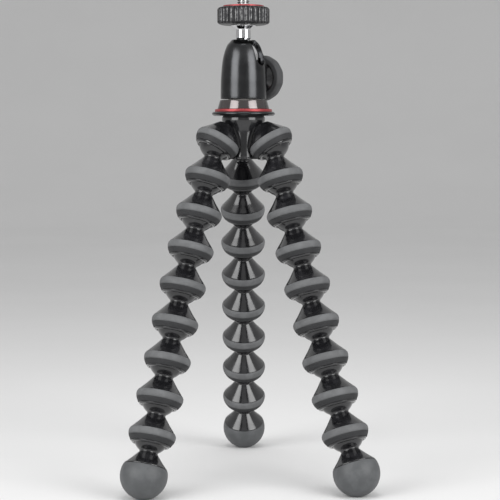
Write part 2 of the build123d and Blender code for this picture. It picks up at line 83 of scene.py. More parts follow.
METRE = 1000.0
UP = np.array([0.0, 0.0, 1.0])
PIN = 0.5  # radius at which a solid's profile starts and ends
LINKS = 8  # on each leg
BALL_AT = 42.9  # height of the head's ball
LOCK_AT = 33.3  # height of the lock screw
KNOB_BEARING = 150.0  # of the lock screw


# ---------- surfaces


@dataclass(frozen=True)
class Surface:
    """Points of a surface in millimetres, with its four-sided and three-sided faces by point number.

    Painted shade, where there is one, is a number from 0 to 1 at each point, which a material may read to
    paint shade into its colour.
    """

    points: np.ndarray
    quads: np.ndarray
    triangles: np.ndarray
    # painted shade at each point, from 0 to 1; none on most pieces
    tone: np.ndarray | None = None


@dataclass(frozen=True)
class Place:
    """Where a piece stands: its origin in millimetres, and its own X, Y and Z directions as rows."""

    origin: np.ndarray
    turn: np.ndarray

    @staticmethod
    def along(origin: np.ndarray, axis: np.ndarray) -> Place:
        """Place with its Z along an axis.

        Args:
            origin: Its origin.
            axis: Direction of its Z, of any length.

        Returns:
            The place. Its X is level, or along the world's X where the axis is upright.
        """
        z = axis / np.linalg.norm(axis)
        level = np.array([-z[1], z[0], 0.0])
        if np.linalg.norm(level) < 1e-6:
            level = np.array([1.0, 0.0, 0.0])
        x = level / np.linalg.norm(level)
        return Place(origin, np.stack([x, np.cross(z, x), z]))

    def carry(self, surface: Surface) -> Surface:
        """Surface moved from its own axes to this place: each point is origin + x X + y Y + z Z."""
        return replace(surface, points=surface.points @ self.turn + self.origin)


def bearing(degrees: float) -> np.ndarray:
    """Level unit vector that turns from the front, -Y, towards the right, +X."""
    turn = math.radians(degrees)
    return np.array([math.sin(turn), -math.cos(turn), 0.0])


def dense(profile: np.ndarray, step: float) -> np.ndarray:
    """Profile with points added along its straight runs.

    Args:
        profile: Points (n, 2).
        step: Longest distance between neighbours, by linear interpolation over the length run so far.

    Returns:
        Points (m, 2) that hold the given ones.
    """
    lengths = np.linalg.norm(np.diff(profile, axis=0), axis=1)
    profile = profile[np.concatenate([[True], lengths > 1e-4])]
    run = np.concatenate([[0.0], np.cumsum(np.linalg.norm(np.diff(profile, axis=0), axis=1))])
    even = np.linspace(0.0, run[-1], max(2, math.ceil(run[-1] / step)))
    gap = np.abs(even[:, None] - run[None, :]).min(axis=1)
    stations = np.sort(np.concatenate([run, even[gap > step * 0.35]]))
    return np.stack([np.interp(stations, run, profile[:, 0]), np.interp(stations, run, profile[:, 1])], axis=1)


def rounded(corners: Sequence[Corner], step: float, looped: bool = False, arc_points: int = 6) -> np.ndarray:
    """Profile through corners with circular fillets.

    With the unit vectors from a corner to its neighbours and half the angle between them, the fillet starts
    and ends at radius / tan(half) from the corner. Its points are the rational quadratic curve of start,
    corner and end, whose middle weight is sin(half), which is a true arc.

    Args:
        corners: The corners, in order.
        step: Longest distance between points on the straight runs.
        looped: Whether the last corner joins up with the first, as on a ring.
        arc_points: Points on each fillet.

    Returns:
        Points (n, 2). Of a looped profile, the last point isn't the first again.
    """
    table = np.array(corners, float)
    here, radius = table[:, :2], table[:, 2]
    back = np.roll(here, 1, axis=0) - here
    ahead = np.roll(here, -1, axis=0) - here
    back_run = np.linalg.norm(back, axis=1)
    ahead_run = np.linalg.norm(ahead, axis=1)
    back, ahead = back / back_run[:, None], ahead / ahead_run[:, None]
    half = np.arccos(np.clip((back * ahead).sum(axis=1), -1.0, 1.0)) / 2
    cut = np.minimum(radius / np.tan(half), 0.48 * np.minimum(back_run, ahead_run))
    start, end = here + back * cut[:, None], here + ahead * cut[:, None]
    s = np.linspace(0.0, 1.0, arc_points)[None, :, None]
    first, middle, last = (1 - s) ** 2, 2 * s * (1 - s) * np.sin(half)[:, None, None], s**2
    arcs = (first * start[:, None] + middle * here[:, None] + last * end[:, None]) / (first + middle + last)
    profile = arcs.reshape(-1, 2)
    if looped:
        return dense(np.concatenate([profile, profile[:1]]), step)[:-1]
    return dense(profile, step)


def arc(radius: float, start: float, end: float, centre: float = 0.0, points: int = 24) -> np.ndarray:
    """Points (n, 2) on a circle about (0, centre), between two angles in degrees off the +Z axis."""
    angle = np.radians(np.linspace(start, end, points))
    return np.stack([radius * np.sin(angle), centre + radius * np.cos(angle)], axis=1)


def through(points: Sequence[tuple[float, float]], between: int = 8) -> np.ndarray:
    """Smooth profile through points: between each two runs the cubic whose end slopes join their neighbours.

    Args:
        points: (radius, height) pairs.
        between: Points on each stretch.

    Returns:
        Points (n, 2).
    """
    given = np.array(points, float)
    padded = np.concatenate([[2 * given[0] - given[1]], given, [2 * given[-1] - given[-2]]])
    p0, p1, p2, p3 = padded[:-3, None], padded[1:-2, None], padded[2:-1, None], padded[3:, None]
    s = np.linspace(0.0, 1.0, between)[None, :, None]
    curve = p1 + 0.5 * s * (p2 - p0 + s * (2 * p0 - 5 * p1 + 4 * p2 - p3 + s * (3 * (p1 - p2) + p3 - p0)))
    return curve.reshape(-1, 2)


def skinned(rows: np.ndarray, looped: bool = False) -> Surface:
    """Surface over rows of points that are each a closed ring.

    Args:
        rows: Points (n, m, 3). Going up a piece's outside, a row's points turn from +X to +Y.
        looped: Whether the last row joins up with the first. If not, both ends are closed by a fan round
            the mean of their row.

    Returns:
        The surface, with faces outwards.
    """
    count, sides = rows.shape[:2]
    low = np.arange(count if looped else count - 1)[:, None]
    high = (low + 1) % count
    side = np.arange(sides)[None, :]
    after = (side + 1) % sides
    corners = [low * sides + side, low * sides + after, high * sides + after, high * sides + side]
    quads = np.stack(np.broadcast_arrays(*corners), axis=-1).reshape(-1, 4)
    points = rows.reshape(-1, 3)
    if looped:
        return Surface(points, quads, np.zeros((0, 3), int))
    poles = np.stack([rows[0].mean(axis=0), rows[-1].mean(axis=0)])
    side, after, total = side[0], after[0], count * sides
    foot = np.stack([np.full(sides, total), after, side], axis=1)
    last = total - sides
    top = np.stack([np.full(sides, total + 1), last + side, last + after], axis=1)
    return Surface(np.concatenate([points, poles]), quads, np.concatenate([foot, top]))


def around(sides: int) -> np.ndarray:
    """Angles (1, sides) that go once round."""
    return np.linspace(0.0, 2 * np.pi, sides, endpoint=False)[None, :]


def shaped(radius: np.ndarray, height: np.ndarray, angle: np.ndarray, looped: bool = False) -> Surface:
    """Surface whose point of radius r and height h at the angle a lies at (r cos a, r sin a, h)."""
    rows = [radius * np.cos(angle), radius * np.sin(angle), height + 0 * angle]
    return skinned(np.stack(rows, axis=-1), looped)


def turned(profile: np.ndarray, sides: int, looped: bool = False) -> Surface:
    """Surface of revolution of a profile, whose radius and height are the same at every angle."""
    return shaped(profile[:, :1], profile[:, 1:], around(sides), looped)


def slab(outline: np.ndarray, low: float, high: float) -> Surface:
    """Closed prism from a low to a high level over a flat outline (n, 2) that turns from X to Y."""
    return skinned(np.stack([np.column_stack([outline, np.full(len(outline), h)]) for h in (low, high)]))


def added(name: str, data: bpy.types.ID) -> bpy.types.Object:
    """New object of the scene."""
    thing = bpy.data.objects.new(name, data)
    bpy.context.scene.collection.objects.link(thing)
    return thing


def mesh_of(name: str, surface: Surface) -> bpy.types.Mesh:
    """Mesh of a surface, in metres, shaded smooth."""
    mesh = bpy.data.meshes.new(name)
    faces = surface.quads.tolist() + surface.triangles.tolist()
    mesh.from_pydata((surface.points / METRE).tolist(), [], faces)
    # the painted shade is stored as a point attribute, for the material to paint shade by
    if surface.tone is not None:
        tone = mesh.attributes.new("tone", "FLOAT", "POINT")
        tone.data.foreach_set("value", surface.tone.astype(np.float32))
    mesh.validate()
    mesh.shade_smooth()
    return mesh


class Cut(Enum):
    """How a tool shape meets the shape before it."""

    ADD = "UNION"
    TAKE = "DIFFERENCE"


def carved(name: str, base: Surface, steps: Sequence[tuple[Cut, Surface]], edge: float) -> bpy.types.Mesh:
    """Mesh of a base shape with others added and cut away, in order, and its edges rounded.

    Args:
        name: Name of the mesh.
        base: The shape to start from.
        steps: Each tool shape with how it meets the result so far.
        edge: Width of the rounding on the sharp edges, in millimetres.

    Returns:
        The finished mesh.
    """
    shapes = [base, *(shape for _, shape in steps)]
    work, *tools = things = [added(name + "_work", mesh_of(name + "_work", shape)) for shape in shapes]
    for (cut, _), tool in zip(steps, tools):
        modifier = work.modifiers.new(cut.name, "BOOLEAN")
        modifier.operation, modifier.solver, modifier.object = cut.value, "EXACT", tool
    rounding = work.modifiers.new("rounding", "BEVEL")
    rounding.width, rounding.segments, rounding.limit_method = edge / METRE, 3, "ANGLE"
    rounding.angle_limit, rounding.harden_normals = math.radians(38), True
    graph = bpy.context.evaluated_depsgraph_get()
    mesh = bpy.data.meshes.new_from_object(work.evaluated_get(graph), depsgraph=graph)
    mesh.name = name
    mesh.materials.clear()
    for thing in things:
        data = thing.data
        bpy.data.objects.remove(thing)
        bpy.data.meshes.remove(data)
    return mesh


# ---------- materials


class Value:
    """A number in a material. The usual signs between it and others add Math nodes."""

    def __init__(self, dresser: Dresser, socket: Socket) -> None:
        """Wraps an output socket of the dresser's tree."""
        self.dresser, self.socket = dresser, socket

    def sum_of(self, operation: str, first: Any, second: Any) -> Value:
        """Math node of two values or numbers."""
        node = self.dresser.node("ShaderNodeMath", {"operation": operation}, {0: first, 1: second})
        return Value(self.dresser, node.outputs[0])

    def __add__(self, other: Any) -> Value:
        """This plus the other."""
        return self.sum_of("ADD", self, other)

    __radd__ = __add__

    def __sub__(self, other: Any) -> Value:
        """This less the other."""
        return self.sum_of("SUBTRACT", self, other)

    def __rsub__(self, other: Any) -> Value:
        """The other less this."""
        return self.sum_of("SUBTRACT", other, self)

    def __mul__(self, other: Any) -> Value:
        """This times the other."""
        return self.sum_of("MULTIPLY", self, other)

    __rmul__ = __mul__

    def rising(self, low: float, high: float) -> Value:
        """0 below low, 1 above high, with a smooth rise between. It falls where low is above high."""
        settings = {"interpolation_type": "SMOOTHSTEP"}
        values = {"Value": self, "From Min": min(low, high), "From Max": max(low, high)}
        values |= {"To Min": float(low > high), "To Max": float(low <= high)}
        return Value(self.dresser, self.dresser.node("ShaderNodeMapRange", settings, values).outputs[0])


class Dresser:
    """Builds the nodes of one material."""

    def __init__(self, name: str) -> None:
        """Starts an empty material."""
        self.material = bpy.data.materials.new(name)
        self.material.use_nodes = True
        self.tree = self.material.node_tree
        self.tree.nodes.clear()

    def node(self, kind: str, settings: dict[str, Any], values: dict[Any, Any]) -> bpy.types.Node:
        """Adds a node.

        Args:
            kind: The node's type.
            settings: Its properties, set first.
            values: For each input by name or number, a Value, an output socket, or plain numbers.

        Returns:
            The node.
        """
        node = self.tree.nodes.new(kind)
        for key, setting in settings.items():
            setattr(node, key, setting)
        for key, value in values.items():
            source = value.socket if isinstance(value, Value) else value
            if isinstance(source, Socket):
                self.tree.links.new(source, node.inputs[key])
            else:
                node.inputs[key].default_value = source
        return node

    def place(self, stretch: Triple = (1.0, 1.0, 1.0)) -> Socket:
        """Object coordinates in millimetres, times a stretch along each axis."""
        source = self.node("ShaderNodeTexCoord", {}, {}).outputs["Object"]
        scale = tuple(METRE * share for share in stretch)
        return self.node("ShaderNodeVectorMath", {"operation": "MULTIPLY"}, {0: source, 1: scale}).outputs[0]

    def noise(self, place: Socket, per_mm: float, detail: float = 2.0) -> Value:
        """Soft noise between about 0.2 and 0.8, with so many waves to the millimetre."""
        values = {"Vector": place, "Scale": per_mm, "Detail": detail, "Roughness": 0.55}
        return Value(self, self.node("ShaderNodeTexNoise", {}, values).outputs[0])

    def reach(self, axis: tuple[float, float]) -> Value:
        """Distance from an upright axis, in millimetres."""
        kind = "ShaderNodeVectorMath"
        shifted = self.node(kind, {"operation": "SUBTRACT"}, {0: self.place(), 1: (*axis, 0.0)})
        level = self.node(kind, {"operation": "MULTIPLY"}, {0: shifted.outputs[0], 1: (1, 1, 0)})
        length = self.node(kind, {"operation": "LENGTH"}, {0: level.outputs[0]})
        return Value(self, length.outputs["Value"])

    def height(self) -> Value:
        """Height above the floor, in millimetres."""
        return Value(self, self.node("ShaderNodeSeparateXYZ", {}, {0: self.place()}).outputs[2])

    def tone(self) -> Value:
        """The piece's painted shade, from 0 to 1 at its points."""
        return Value(self, self.node("ShaderNodeAttribute", {"attribute_name": "tone"}, {}).outputs["Fac"])

    def mixed(self, share: Value, low: Any, high: Any) -> Socket:
        """Colour between two colour sockets or colours with their alpha, by a share from 0 to 1."""
        return self.node("ShaderNodeMix", {"data_type": "RGBA"}, {"Factor": share, 6: low, 7: high}).outputs[2]

    def blend(self, share: Value, low: Colour, high: Colour) -> Socket:
        """Colour between two plain colours, by a share from 0 to 1."""
        return self.mixed(share, (*low, 1.0), (*high, 1.0))

    def relief(self, height: Value, depth: float, strength: float) -> Socket:
        """Normal of a fine relief whose full height is depth, in millimetres."""
        values = {"Height": height, "Distance": depth / METRE, "Strength": strength}
        return self.node("ShaderNodeBump", {}, values).outputs[0]

    def finish(self, linked: dict[str, Any], fixed: dict[str, Any]) -> Material:
        """Ends the material.

        Args:
            linked: The shader's inputs that vary over the surface.
            fixed: Its inputs that are the same all over.

        Returns:
            The material.
        """
        shader = self.node("ShaderNodeBsdfPrincipled", {}, {**fixed, **linked})
        self.node("ShaderNodeOutputMaterial", {}, {"Surface": shader.outputs[0]})
        return self.material


@dataclass(frozen=True)
class Moulding:
    """Glossy moulded plastic with a little handling haze and a faint ripple from the mould."""

    name: str = "moulding"
    colour: Colour = (0.0075, 0.0075, 0.0085)
    haze: Colour = (0.016, 0.016, 0.018)
    roughness: float = 0.11

    def material(self) -> Material:
        """The finish as a material."""
        dresser = Dresser(self.name)
        place = dresser.place()
        haze = dresser.noise(place, 0.16, 4.0).rising(0.42, 0.72)
        fine = dresser.noise(place, 1.7, 3.0)
        specks = dresser.noise(place, 5.5).rising(0.66, 0.74)
        linked = {
            "Base Color": dresser.blend(haze, self.colour, self.haze),
            "Roughness": self.roughness + haze * 0.07 + fine * 0.05 + specks * 0.10,
            "Normal": dresser.relief(fine, 0.02, 0.12),
        }
        return dresser.finish(linked, {"IOR": 1.54, "Coat Weight": 0.35, "Coat Roughness": 0.05})


@dataclass(frozen=True)
class Rubber:
    """Matt moulded rubber with a fine grain, a paler bloom in patches and, on a foot, a scuffed sole.

    Where a piece has painted shade, the rubber is painted darker, towards its shaded colour, as that shade
    rises.
    """

    name: str
    colour: Colour
    bloom: Colour
    roughness: float = 0.56
    grain: float = 0.05
    scuffed: bool = False
    # colour of the painted shade, where a piece carries painted shade
    shaded: Colour | None = None

    def material(self) -> Material:
        """The finish as a material."""
        dresser = Dresser(self.name)
        place = dresser.place()
        bloom = dresser.noise(place, 0.22, 4.0).rising(0.38, 0.68)
        grain = dresser.noise(place, 2.6, 3.0)
        share = bloom * 0.7 + grain.rising(0.45, 0.75) * 0.3
        roughness = self.roughness + bloom * 0.08 + grain * 0.10
        if self.scuffed:
            sole = dresser.height().rising(3.2, 0.4) * dresser.noise(place, 0.7, 4.0).rising(0.35, 0.6)
            share = share * (1 - sole) + sole
            roughness = roughness + sole * 0.15
        colour = dresser.blend(share, self.colour, self.bloom)
        # painted shade: colour blended towards the shaded colour by the piece's painted shade
        if self.shaded:
            colour = dresser.mixed(dresser.tone(), colour, (*self.shaded, 1.0))
        relief = dresser.relief(grain, self.grain, 0.35)
        linked = {"Base Color": colour, "Roughness": roughness, "Normal": relief}
        return dresser.finish(linked, {"IOR": 1.5, "Specular IOR Level": 0.42})


@dataclass(frozen=True)
class Metal:
    """Metal with fine lines from turning, a blasted grain, or both."""

    name: str
    colour: Colour
    streak: Colour
    roughness: float
    metallic: float = 1.0
    lines: float = 0.0
    grain: float = 0.0

    def material(self) -> Material:
        """The finish as a material."""
        dresser = Dresser(self.name)
        cloud = dresser.noise(dresser.place(), 0.2, 3.0).rising(0.35, 0.7)
        turning = dresser.noise(dresser.place((0.06, 0.06, 7.0)), 1.0)
        grain = dresser.noise(dresser.place(), 6.0)
        roughness = self.roughness + cloud * 0.04 + turning * (0.05 * self.lines) + grain * (0.08 * self.grain)
        linked = {
            "Base Color": dresser.blend(cloud * 0.5 + turning * 0.5, self.colour, self.streak),
            "Roughness": roughness,
            "Normal": dresser.relief(turning * self.lines + grain * self.grain, 0.012, 0.25),
        }
        return dresser.finish(linked, {"Metallic": self.metallic})


@dataclass(frozen=True)
class WornMetal:
    """Dark coated metal, with bare metal showing on what stands furthest from its upright axis."""

    name: str
    colour: Colour
    bare: Colour
    axis: tuple[float, float]
    crest: float
    depth: float = 0.5
    roughness: float = 0.3

    def material(self) -> Material:
        """The finish as a material."""
        dresser = Dresser(self.name)
        wear = dresser.reach(self.axis).rising(self.crest - self.depth, self.crest)
        patches = dresser.noise(dresser.place(), 0.9, 4.0).rising(0.35, 0.7)
        grain = dresser.noise(dresser.place(), 5.0)
        linked = {
            "Base Color": dresser.blend(wear * patches, self.colour, self.bare),
            "Roughness": self.roughness + grain * 0.1 - wear * 0.06,
            "Normal": dresser.relief(grain, 0.012, 0.3),
        }
        return dresser.finish(linked, {"Metallic": 0.9})


# ---------- the frame


class Leg(Enum):
    """The three legs."""

    FRONT_LEFT = "front_left"
    FRONT_RIGHT = "front_right"
    REAR = "rear"


class Frame:
    """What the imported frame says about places, in millimetres."""

    hub_to_pan: float = 22.2

    def __init__(self) -> None:
        """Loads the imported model."""
        self.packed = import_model()
        self.joints = {joint["name"]: joint for joint in self.packed["joints"]}
        self.hub = self.joint("head_pan") - self.hub_to_pan * UP
        self.upright = Place.along(self.hub, UP)

    def joint(self, name: str) -> np.ndarray:
        """Place of a hinge."""
        return np.array(self.joints[name]["pos_m"], float) * METRE

    def balls(self, leg: Leg) -> np.ndarray:
        """Centres (9, 3) of a leg's joint balls, from the hub down."""
        kinds = ["bend", "swing"]
        return np.stack([self.joint(f"{leg.value}_{kinds[k % 2]}_{k + 1}") for k in range(LINKS + 1)])

    def foot(self, leg: Leg) -> np.ndarray:
        """Middle of a leg's foot, over the middle of its box."""
        low, high = (np.array(corner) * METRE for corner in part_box(f"{leg.value}_foot_rubber"))
        return np.array([(low[0] + high[0]) / 2, (low[1] + high[1]) / 2, Foot.rise])

    def on_axis(self, height: float) -> np.ndarray:
        """Point on the head's axis at a height above the hub's ball centres."""
        return self.hub + height * UP


@dataclass
class Maker:
    """Builds one part of the object round the frame, with materials by the names of their finishes."""

    frame: Frame
    looks: dict[str, Material]

    def piece(
        self, name: str, shape: Surface | bpy.types.Mesh, body: str, slot: str, *nodes: str, finish: str = ""
    ) -> None:
        """Adds a finished piece to the model.

        Args:
            name: Its name.
            shape: Its surface or mesh, in the frame.
            body: The body that it moves with.
            slot: The record's material slot.
            nodes: CAD nodes that it stands for.
            finish: Its finish, where that isn't named as the slot.
        """
        mesh = mesh_of(name, shape) if isinstance(shape, Surface) else shape
        mesh.materials.append(self.looks[finish or slot])
        thing = added(name, mesh)
        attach(thing, body)
        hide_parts(*nodes)
        LOG.info("%s: %d faces, rides on %s", name, len(mesh.polygons), body)

    def build(self) -> None:
        """Adds the pieces of this part."""
        raise NotImplementedError


# ---------- legs


@dataclass
class Link:
    """One link of a leg, on its own axis from its ball's centre towards the foot."""

    pitch: float = 18.74
    ball_r: float = 8.8
    waist_r: float = 4.38
    waist_at: float = 8.2
    waist_fillet: float = 1.1
    cone_hollow: float = 0.1
    dome_r: float = 10.9
    dome_rise: float = 2.6
    seat_r: float = 10.4
    skirt_r: float = 9.15
    bell_r: float = 9.5
    mouth_r: float = 8.15
    socket_r: float = 8.85
    socket_start: float = 63.0
    pole_hole: float = 176.0
    ring: Profile = (
        (10.3, -2.45, 0.0), (10.95, -2.55, 0.12), (11.47, -1.65, 0.8), (11.55, -0.5, 3.0), (11.2, 1.05, 0.3),
        (10.9, 1.25, 0.12), (11.02, 1.5, 0.2), (9.85, 3.45, 0.4), (9.3, 3.4, 0.0),
    )
    # painted shade on the ring rises from crease_at over crease_high along its axis, darkening the lower band
    crease_at: float = 0.75
    crease_high: float = 0.45
    sides: int = 64
    step: float = 0.9
    longest: float = 2.5

    def neck(self, end_r: float, end_at: float) -> np.ndarray:
        """Profile of the ball from its far pole to the waist, the waist's fillet and a faintly hollow cone.

        Args:
            end_r: Radius of the cone's wide end.
            end_at: Its place along the axis.

        Returns:
            Points (n, 2).
        """
        ball = arc(self.ball_r, self.pole_hole, 33, points=34)
        middle_r = 0.5 * (self.waist_r + end_r) - self.cone_hollow
        middle_at = 0.5 * (self.waist_at + end_at) + self.cone_hollow
        cone = [(*ball[-1], 0.0), (self.waist_r, self.waist_at, self.waist_fillet)]
        cone += [(middle_r, middle_at, 30.0), (end_r, end_at, 0.0)]
        return np.concatenate([ball, rounded(cone, 0.6, arc_points=8)])

    def bell(self, top: float) -> list[Corner]:
        """Corners from the dome's lip to the mouth, under the ring and out below it.

        Args:
            top: Place of the lip along the axis.

        Returns:
            The corners, in order.
        """
        foot = top + self.dome_rise
        lip = [(self.dome_r, top - 0.05, 0.0), (self.dome_r + 0.08, top, 0.1), (self.seat_r, top + 0.4, 0.15)]
        skirt = [(self.skirt_r, foot + 3.3, 0.1), (self.bell_r, foot + 3.5, 0.2)]
        return [*lip, *skirt, (self.bell_r - 0.5, foot + 4.35, 0.35), (self.mouth_r, foot + 4.45, 0.2)]

    def shell(self) -> Surface:
        """Ball, waist, dome, bell and the socket's hollow."""
        top = self.pitch - self.dome_rise
        socket = arc(self.socket_r, self.socket_start, self.pole_hole, self.pitch, 18)
        bell = [*self.bell(top), (*socket[0], 0.0)]
        profile = np.concatenate([self.neck(self.dome_r, top - 0.05), rounded(bell, self.step), socket])
        return turned(dense(profile, self.longest), self.sides)

    def grip(self) -> Surface:
        """Rubber ring about the socket's centre: a broad band, a crease and a narrower band that tapers in,
        with painted shade on the lower band.
        """
        profile = rounded(self.ring, 0.7, looped=True, arc_points=5)
        # painted shade: 0 on the broad band, rising to 1 across the crease onto the lower band
        lower = np.clip((profile[:, 1] - self.crease_at) / self.crease_high, 0.0, 1.0)
        ring = turned(profile, self.sides, looped=True)
        return replace(ring, tone=np.repeat(lower, self.sides))


@dataclass
class Foot:
    """Last link and rubber foot, on the link's axis."""

    link: Link = field(default_factory=Link)
    reach: float = 19.38
    radius: float = 11.43
    collar_r: float = 10.62
    collar_at: float = 15.6
    collar_high: float = 0.6
    collar_lip: float = 0.15
    core_r: float = 7.4
    core_end: float = 20.9
    play: float = 0.05
    rise: float = 11.04
    sides: int = 96

    def shell(self) -> Surface:
        """Ball, waist, dome out to the collar, and the core inside the rubber."""
        start = self.collar_at - self.collar_high
        lip_r = self.collar_r - self.collar_lip
        rim = [(lip_r, start, 0.0), (self.collar_r, start + 0.2, 0.3)]
        rim += [(self.collar_r, self.collar_at, 0.2), (self.core_r, self.collar_at, 0.0)]
        rim += [(self.core_r, self.core_end, 0.3), (0.4, self.core_end, 0.0)]
        profile = np.concatenate([self.link.neck(lip_r, start), rounded(rim, self.link.step)])
        return turned(dense(profile, self.link.longest), self.link.sides)

    def rubber(self) -> Surface:
        """Rubber ball from the collar's plane to its pole."""
        top = self.collar_at + self.play
        start = math.degrees(math.acos((top - self.reach) / self.radius))
        ball = arc(self.radius, start, 1.5, self.reach, 44)
        lip = [(self.core_r + 1.5, top, 0.0), (*ball[0], 0.3), (*ball[2], 0.0)]
        return turned(np.concatenate([rounded(lip, 0.6), ball[3:]]), self.sides)

    def stood(self, surface: Surface) -> Surface:
        """Surface with what lies below the floor pressed up to it, which leaves the flat sole."""
        points = surface.points.copy()
        points[:, 2] = np.maximum(points[:, 2], 0.0)
        return replace(surface, points=points)


@dataclass
class LegMaker(Maker):
    """Builds the three legs."""

    link: Link = field(default_factory=Link)
    foot: Foot = field(default_factory=Foot)

    def build(self) -> None:
        """Every link, grip ring and foot of each leg."""
        shell, grip = self.link.shell(), self.link.grip()
        for leg in Leg:
            centres = self.frame.balls(leg)
            for number in range(LINKS):
                node = f"{leg.value}_link_{number + 1}"
                axis = centres[number + 1] - centres[number]
                place = Place.along(centres[number], axis)
                ring = Place.along(centres[number + 1], axis)
                self.piece(f"{node}_shell", place.carry(shell), node, "moulding", node)
                self.piece(f"{node}_grip", ring.carry(grip), node, "grip_rubber", node)
            body = f"{leg.value}_foot"
            place = Place.along(centres[-1], self.frame.foot(leg) - centres[-1])
            self.piece(f"{body}_shell", place.carry(self.foot.shell()), body, "moulding", f"{body}_link")
            rubber = self.foot.stood(place.carry(self.foot.rubber()))
            self.piece(f"{body}_tip", rubber, body, "foot_rubber", f"{body}_rubber")


# ---------- hub


@dataclass
class Hub(Maker):
    """Column with three splayed sockets and the shield-shaped panels between them.

    The relief is the room round a bell and its ring, and the bore that for the stand screw and its cover.
    """

    link: Link = field(default_factory=Link)
    splay: float = 34.0
    shaft: Profile = (
        (PIN, -7.9, 0.0), (9.75, -7.9, 0.35), (9.75, -7.1, 0.35), (9.45, -6.8, 0.3),
        (9.5, 6.4, 5.0), (10.9, 11.6, 0.25), (10.9, 13.2, 0.35), (PIN, 13.2, 0.0),
    )
    lobe_r: float = 6.2
    lobe_top: float = 9.5
    lobe_run: float = 7.5
    relief: Profile = (
        (PIN, -8.2, 0.0), (4.95, -8.2, 0.0), (11.35, -2.6, 0.0),
        (11.9, -1.7, 0.0), (11.9, 18.7, 0.0), (PIN, 18.7, 0.0),
    )
    bore: Profile = (
        (PIN, -8.9, 0.0), (5.72, -8.9, 0.0), (5.72, -4.1, 0.0),
        (3.4, -4.1, 0.0), (3.4, 14.2, 0.0), (PIN, 14.2, 0.0),
    )
    arm_end: float = -10.3
    mouth_at: float = 4.25
    mouth_end: float = 8.0
    edge: float = 0.35
    sides: int = 144

    def arm(self, leg: Leg) -> Place:
        """Place of a hub socket, whose Z points out of its mouth."""
        ball = self.frame.balls(leg)[0]
        out = ball - self.frame.hub
        out = out / np.linalg.norm(out)
        lean = math.radians(self.splay)
        return Place.along(ball, out * math.sin(lean) - math.cos(lean) * UP)

    def column(self) -> Surface:
        """Neck and column, whose round section turns into three lobes below the neck, one for each panel.

        A lobe is a circle of radius q that touches the profile's radius R at its own bearing, so at the
        angle a from there the section's radius is (R - q) cos a + sqrt(q^2 - ((R - q) sin a)^2).
        """
        profile, angle = rounded(self.shaft, 1.0), around(self.sides)
        radius, height = profile[:, :1], profile[:, 1:]
        share = np.clip((self.lobe_top - height) / self.lobe_run, 0.0, 1.0)
        share = share * share * (3 - 2 * share)
        lobe = np.minimum(radius, radius + (self.lobe_r - radius) * share)
        inset = radius - lobe
        sections = []
        for leg in Leg:
            out = self.frame.hub - self.frame.balls(leg)[0]
            turn = angle - math.atan2(out[1], out[0])
            under = np.maximum(lobe**2 - (inset * np.sin(turn)) ** 2, 0.0)
            sections.append(inset * np.cos(turn) + np.sqrt(under))
        return shaped(np.maximum.reduce(sections), height, angle)

    def bell(self) -> Surface:
        """Outside of a socket: dome, bell and mouth."""
        corners = [(PIN, self.arm_end, 0.0), (self.link.waist_r, self.arm_end, 0.0)]
        corners += [*self.link.bell(-self.link.dome_rise), (PIN, self.mouth_at + 0.25, 0.0)]
        return turned(rounded(corners, 1.2), 96)

    def hollow(self) -> Surface:
        """Room for the ball, open at the mouth."""
        ball = arc(self.link.socket_r, self.link.pole_hole, self.link.socket_start, 0.0, 20)
        mouth = [(self.link.mouth_r, self.mouth_at), (self.link.mouth_r, self.mouth_end)]
        return turned(np.concatenate([ball, mouth]), 96)

    def build(self) -> None:
        """The hub's core and its three rings."""
        arms = [self.arm(leg) for leg in Leg]
        upright = self.frame.upright
        relief = turned(rounded(self.relief, 3.0, arc_points=2), self.sides)
        bore = turned(rounded(self.bore, 4.0, arc_points=2), 64)
        steps = [(Cut.TAKE, arm.carry(relief)) for arm in arms]
        steps += [(Cut.ADD, arm.carry(self.bell())) for arm in arms]
        steps += [(Cut.TAKE, arm.carry(self.hollow())) for arm in arms]
        steps += [(Cut.TAKE, upright.carry(bore))]
        mesh = carved("hub_body", upright.carry(self.column()), steps, self.edge)
        self.piece("hub_body", mesh, "stand", "moulding", "hub_core")
        for leg, arm in zip(Leg, arms):
            ring = arm.carry(self.link.grip())
            self.piece(f"hub_ring_{leg.value}", ring, "stand", "grip_rubber", f"hub_grip_{leg.value}")


# ---------- head


@dataclass
class HeadBase(Maker):
    """Flange, polished conical band and red ring."""

    flange: Profile = (
        (3.4, 13.8, 0.0), (15.0, 13.8, 0.5), (15.9, 14.55, 0.6),
        (15.9, 15.2, 0.6), (15.2, 15.8, 0.4), (3.4, 15.8, 0.0),
    )
    band: Profile = (
        (3.4, 15.8, 0.0), (12.5, 15.8, 0.0), (12.5, 17.2, 0.0),
        (13.1, 17.22, 0.15), (11.8, 21.7, 0.3), (3.4, 21.7, 0.0),
    )
    ring: Profile = ((12.55, 15.8, 0.0), (14.4, 15.8, 0.15), (14.4, 17.2, 0.45), (12.55, 17.2, 0.0))
    sides: int = 160

    def build(self) -> None:
        """The three turned pieces."""
        made = [
            ("base_flange", self.flange, 0.9, "satin_metal", "satin_metal", "head_base"),
            ("base_band", self.band, 0.6, "polished_metal", "dark_chrome", "head_base"),
            ("base_accent", self.ring, 0.5, "accent_red", "accent_red", "base_ring"),
        ]
        for name, corners, step, slot, finish, node in made:
            shape = turned(rounded(corners, step, looped=True), self.sides, looped=True)
            self.piece(name, self.frame.upright.carry(shape), "stand", slot, node, finish=finish)


